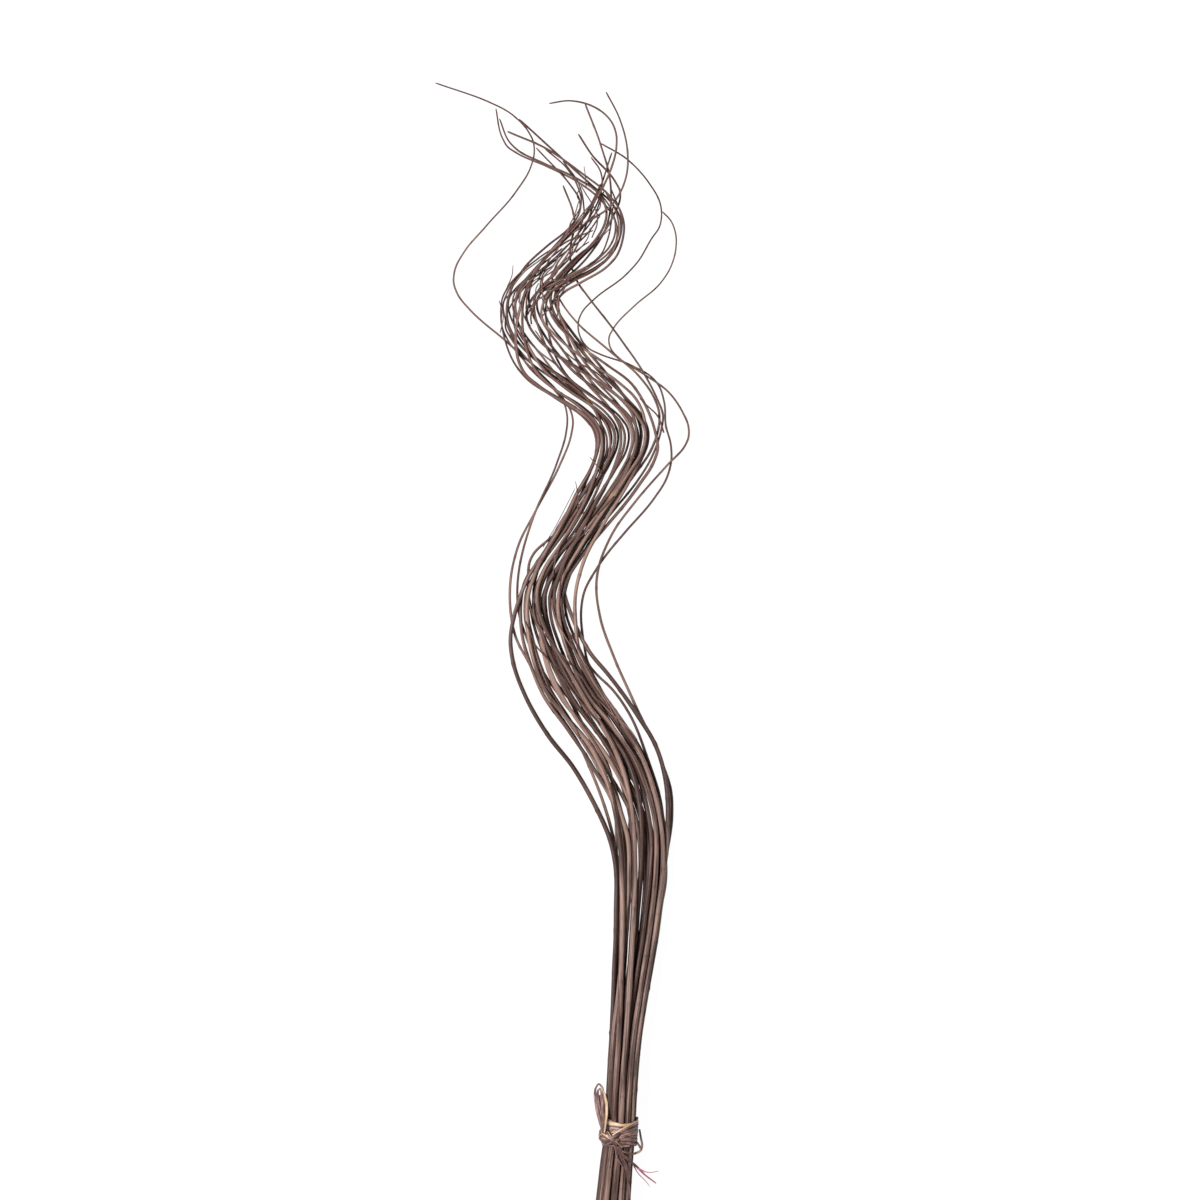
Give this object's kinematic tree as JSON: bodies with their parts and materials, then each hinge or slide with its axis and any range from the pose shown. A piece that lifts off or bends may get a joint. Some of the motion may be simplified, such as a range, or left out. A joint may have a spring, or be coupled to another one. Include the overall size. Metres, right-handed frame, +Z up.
{
  "type": "bundle of dried curly twigs",
  "caption": "Long bunch of thin wavy dyed twigs lying on a surface, straight and close at the cut ends, tied there with split raffia, fanning out to fine curly tips.",
  "frame": {"origin": "middle of the underside of the whole bundle's box, on the surface it lies on", "axes": "+Z up from the surface, +Y along the bundle from the cut ends to the tips, +X to the right when seen from above with the tips at the top"},
  "size_m": [0.255, 1.1926, 0.0466],
  "materials": {
    "dyed_bark": "thin smooth bark, dyed dusty purple-brown, matte to satin, with fine lengthwise streaks",
    "dyed_raffia": "split raffia, dyed purple-brown with undyed straw-coloured stripes, fibrous and matte"
  },
  "bodies": {
    "root": {"twig_01": "dyed_bark", "twig_02": "dyed_bark", "twig_03": "dyed_bark", "twig_04": "dyed_bark", "twig_05": "dyed_bark", "twig_06": "dyed_bark", "twig_07": "dyed_bark", "twig_08": "dyed_bark", "twig_09": "dyed_bark", "twig_10": "dyed_bark", "twig_11": "dyed_bark", "twig_12": "dyed_bark", "twig_13": "dyed_bark", "twig_14": "dyed_bark", "twig_15": "dyed_bark", "twig_16": "dyed_bark", "twig_17": "dyed_bark", "twig_18": "dyed_bark", "twig_19": "dyed_bark", "twig_20": "dyed_bark", "twig_21": "dyed_bark", "twig_22": "dyed_bark", "twig_23": "dyed_bark", "twig_24": "dyed_bark", "twig_25": "dyed_bark", "twig_26": "dyed_bark", "twig_27": "dyed_bark", "twig_28": "dyed_bark", "raffia_wraps": "dyed_raffia", "raffia_knot": "dyed_raffia", "raffia_folded_loop": "dyed_raffia", "raffia_side_loop": "dyed_raffia", "raffia_tail_long": "dyed_raffia", "raffia_tail_short": "dyed_raffia", "raffia_tail_right": "dyed_raffia", "raffia_tail_pink": "dyed_raffia", "raffia_tail_pale": "dyed_raffia"}
  },
  "joints": []
}
